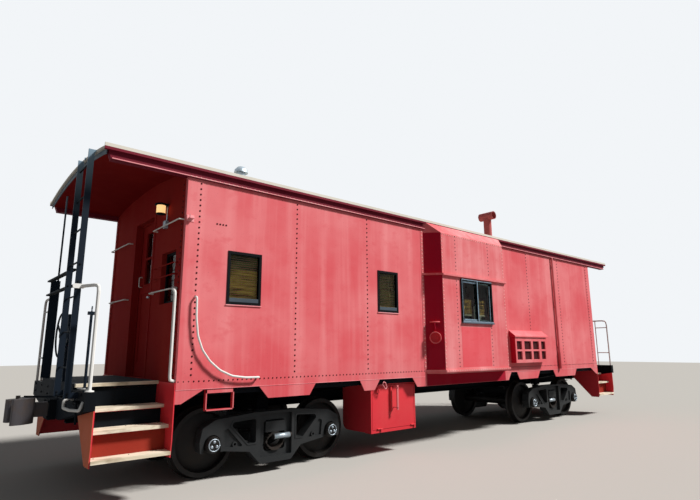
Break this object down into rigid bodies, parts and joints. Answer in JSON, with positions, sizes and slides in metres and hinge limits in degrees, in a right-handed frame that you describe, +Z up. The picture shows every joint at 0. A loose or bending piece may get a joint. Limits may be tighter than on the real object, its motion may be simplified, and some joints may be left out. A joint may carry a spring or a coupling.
{
  "type": "bay window caboose",
  "caption": "Steel bay-window caboose with open end platforms, roof ladders, a hung battery box and two cast-frame trucks that swivel and roll on rails.",
  "frame": {"origin": "middle of the car between the rails, at the wheel flange tips", "axes": "+X along the car towards the far end, +Y to the far side, +Z up"},
  "size_m": [13.3154, 3.384, 4.5629],
  "materials": {
    "body_paint": "faded satin",
    "roof_paint": "matte",
    "grey_paint": "matte",
    "ceiling_paint": "matte",
    "black_paint": "matte",
    "floor_board": "worn",
    "tread_board": "weathered",
    "white_paint": "satin",
    "window_aluminium": "satin",
    "lamp_glass": "frosted",
    "clear_glass": "clear",
    "cast_steel": "rough",
    "spring_steel": "dull",
    "wheel_steel": "dull"
  },
  "bodies": {
    "carbody": {"air_brake_gear": "black_paint", "battery_box": "body_paint", "bay_cups": "body_paint", "bay_left": "body_paint", "bay_right": "body_paint", "bay_window_frames": "window_aluminium", "brake_wheels": "black_paint", "centre_sill": "black_paint", "couplers": "cast_steel", "cross_members": "black_paint", "eave_bands": "body_paint", "end_crossbars": "black_paint", "end_sills": "black_paint", "end_uprights": "black_paint", "end_wall_far": "body_paint", "end_wall_near": "body_paint", "floor": "floor_board", "grille_boxes": "body_paint", "handrails": "white_paint", "platforms": "black_paint", "porch_ceilings": "ceiling_paint", "porch_lamps": "lamp_glass", "roof": "roof_paint", "roof_edges": "roof_paint", "roof_end_arches": "grey_paint", "roof_vent": "roof_paint", "side_pipes": "body_paint", "side_sills": "black_paint", "side_wall_left": "body_paint", "side_wall_right": "body_paint", "smoke_stack": "body_paint", "step_treads": "tread_board", "step_wells": "body_paint", "window_frames": "black_paint", "window_glass": "clear_glass", "window_guards": "body_paint"},
    "near_door": {"near_door": "body_paint", "near_door_glass": "clear_glass"},
    "far_door": {"far_door": "body_paint", "far_door_glass": "clear_glass"},
    "battery_door": {"battery_box_door": "body_paint"},
    "near_truck": {"near_truck_bolster": "cast_steel", "near_truck_side_frames": "cast_steel", "near_truck_springs": "spring_steel"},
    "near_inner_wheelset": {"near_inner_wheels": "wheel_steel", "near_inner_axle": "wheel_steel"},
    "near_outer_wheelset": {"near_outer_wheels": "wheel_steel", "near_outer_axle": "wheel_steel"},
    "far_truck": {"far_truck_bolster": "cast_steel", "far_truck_side_frames": "cast_steel", "far_truck_springs": "spring_steel"},
    "far_inner_wheelset": {"far_inner_wheels": "wheel_steel", "far_inner_axle": "wheel_steel"},
    "far_outer_wheelset": {"far_outer_wheels": "wheel_steel", "far_outer_axle": "wheel_steel"}
  },
  "joints": [
    {"name": "near_truck_swivel", "type": "hinge", "parent": "carbody", "child": "near_truck", "pos_m": [-3.7, 0, 0.7], "axis": [0, 0, 1], "range_deg": [-7, 7]},
    {"name": "near_inner_axle_spin", "type": "hinge", "parent": "near_truck", "child": "near_inner_wheelset", "pos_m": [-2.785, 0, 0.444], "axis": [0, 1, 0], "continuous": true},
    {"name": "near_outer_axle_spin", "type": "hinge", "parent": "near_truck", "child": "near_outer_wheelset", "pos_m": [-4.615, 0, 0.444], "axis": [0, 1, 0], "continuous": true},
    {"name": "near_door_hinge", "type": "hinge", "parent": "carbody", "child": "near_door", "pos_m": [-5.102, -0.354, 1.2], "axis": [0, 0, -1], "range_deg": [0, 100]},
    {"name": "far_truck_swivel", "type": "hinge", "parent": "carbody", "child": "far_truck", "pos_m": [3.7, 0, 0.7], "axis": [0, 0, 1], "range_deg": [-7, 7]},
    {"name": "far_inner_axle_spin", "type": "hinge", "parent": "far_truck", "child": "far_inner_wheelset", "pos_m": [2.785, 0, 0.444], "axis": [0, 1, 0], "continuous": true},
    {"name": "far_outer_axle_spin", "type": "hinge", "parent": "far_truck", "child": "far_outer_wheelset", "pos_m": [4.615, 0, 0.444], "axis": [0, 1, 0], "continuous": true},
    {"name": "far_door_hinge", "type": "hinge", "parent": "carbody", "child": "far_door", "pos_m": [5.102, 0.354, 1.2], "axis": [0, 0, -1], "range_deg": [0, 100]},
    {"name": "battery_door_hinge", "type": "hinge", "parent": "carbody", "child": "battery_door", "pos_m": [-1.69, -1.314, 0.398], "axis": [1, 0, 0], "range_deg": [0, 90]}
  ]
}
